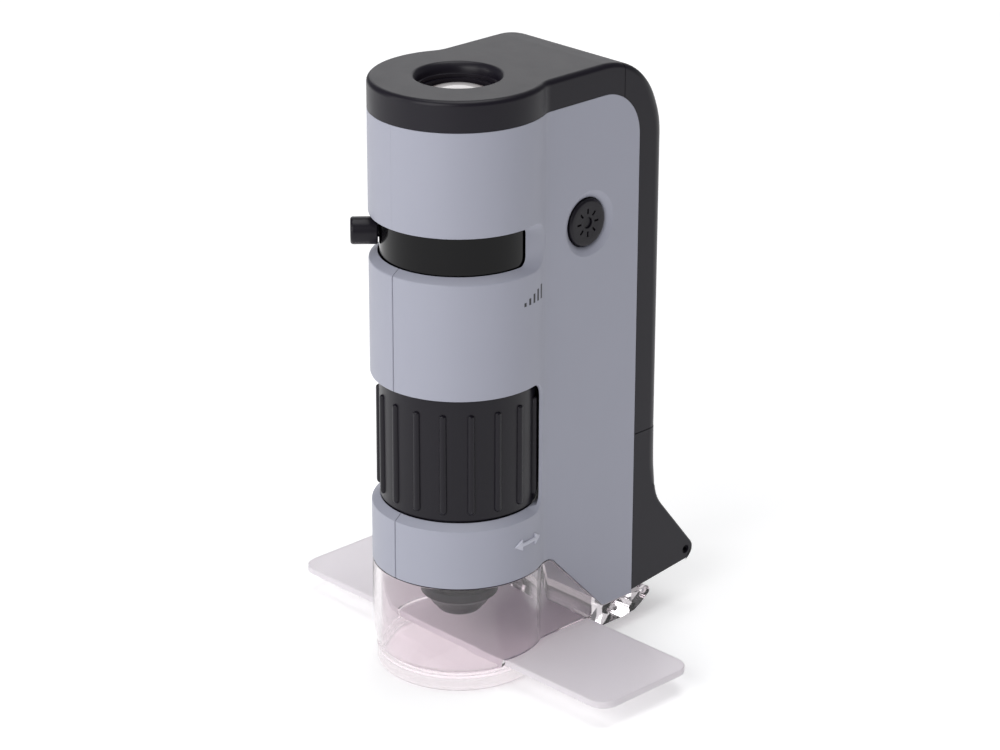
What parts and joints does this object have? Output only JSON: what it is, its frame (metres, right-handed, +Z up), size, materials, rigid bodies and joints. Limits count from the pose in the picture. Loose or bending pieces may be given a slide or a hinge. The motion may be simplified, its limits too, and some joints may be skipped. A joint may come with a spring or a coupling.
{
  "type": "pocket microscope",
  "caption": "Upright handheld zoom microscope: round barrel with zoom lever and focus wheel, block for one cell behind it, and a clear flip-down base that holds a slide.",
  "frame": {"origin": "on the optical axis, on the flat underside of the clear base", "axes": "+Z up along the optical axis, -Y the round front of the barrel, +X the side with the lamp button"},
  "size_m": [0.0726, 0.0574, 0.1],
  "materials": {
    "grey_shell": "satin moulded plastic with a fine grain",
    "black_cover": "satin black moulded plastic",
    "black_control": "satin black moulded plastic",
    "black_gloss": "smooth glossy black plastic",
    "inner_black": "flat black moulded plastic against stray light",
    "optical_glass": "polished, coated lens",
    "steel_pin": "plated steel",
    "spring_steel": "nickel-plated spring steel",
    "cell_can": "printed sleeve on a metal can, left plain",
    "board": "green resist on glass-fibre board",
    "lamp_body": "clear epoxy lamp body",
    "lead_sheath": "soft insulated twin lead",
    "clear_plastic": "clear polished moulded plastic",
    "slide_plastic": "milky translucent plastic"
  },
  "bodies": {
    "body": {"left_shell": "grey_shell", "right_shell": "grey_shell", "top_cap": "black_cover", "rear_stand": "black_cover", "optical_frame": "inner_black", "ocular_barrel": "inner_black", "ocular_lens": "optical_glass", "ocular_ring": "black_gloss", "battery_tray": "inner_black", "battery_cell": "cell_can", "battery_spring": "spring_steel", "battery_contact": "spring_steel", "circuit_board": "board", "tact_switch": "black_gloss", "lamp": "lamp_body", "lamp_socket": "inner_black", "lamp_lead": "lead_sheath", "hinge_pin": "steel_pin", "focus_spring": "spring_steel", "shell_screw_1": "steel_pin", "shell_screw_2": "steel_pin", "shell_screw_3": "steel_pin"},
    "zoom_ring": {"zoom_band": "black_gloss", "zoom_lever": "black_control"},
    "zoom_cell": {"zoom_carrier": "inner_black", "zoom_lens": "optical_glass", "zoom_pin": "steel_pin"},
    "focus_ring": {"focus_wheel": "black_control"},
    "objective": {"objective_barrel": "inner_black", "objective_nose": "black_control", "objective_lens": "optical_glass", "focus_pin": "steel_pin"},
    "button": {"led_button": "black_control"},
    "door": {"battery_door": "black_cover"},
    "base": {"flip_base": "clear_plastic"},
    "slide": {"specimen_slide": "slide_plastic"}
  },
  "joints": [
    {"name": "zoom_turn", "type": "hinge", "parent": "body", "child": "zoom_ring", "pos_m": [0, 0, 0.0747], "axis": [0, 0, 1], "range_deg": [-49, 133]},
    {"name": "zoom_shift", "type": "slide", "parent": "body", "child": "zoom_cell", "axis": [0, 0, 1], "range_m": [-0.0024, 0.0063]},
    {"name": "focus_turn", "type": "hinge", "parent": "body", "child": "focus_ring", "pos_m": [0, 0, 0.04045], "axis": [0, 0, 1], "range_deg": [-135, 135]},
    {"name": "focus_shift", "type": "slide", "parent": "body", "child": "objective", "axis": [0, 0, 1], "range_m": [-0.0016, 0.0016], "deforming": ["focus_spring"]},
    {"name": "lamp_press", "type": "slide", "parent": "body", "child": "button", "axis": [-1, 0, 0], "range_m": [0, 0.0005], "stiffness_N_per_m": 1200, "springref_m": -0.0004},
    {"name": "door_tip", "type": "hinge", "parent": "body", "child": "door", "pos_m": [0, 0.0342, 0.035], "axis": [-1, 0, 0], "range_deg": [0, 60]},
    {"name": "base_flip", "type": "hinge", "parent": "body", "child": "base", "pos_m": [0, 0.0316, 0.0053], "axis": [1, 0, 0], "range_deg": [0, 110]},
    {"name": "slide_pull", "type": "slide", "parent": "base", "child": "slide", "axis": [1, 0, 0], "range_m": [-0.021, 0.048]}
  ],
  "couplings": [
    {"joint": "zoom_shift", "follows": "zoom_turn", "m_per_rad": 0.002693},
    {"joint": "focus_shift", "follows": "focus_turn", "m_per_rad": 0.0006366}
  ]
}
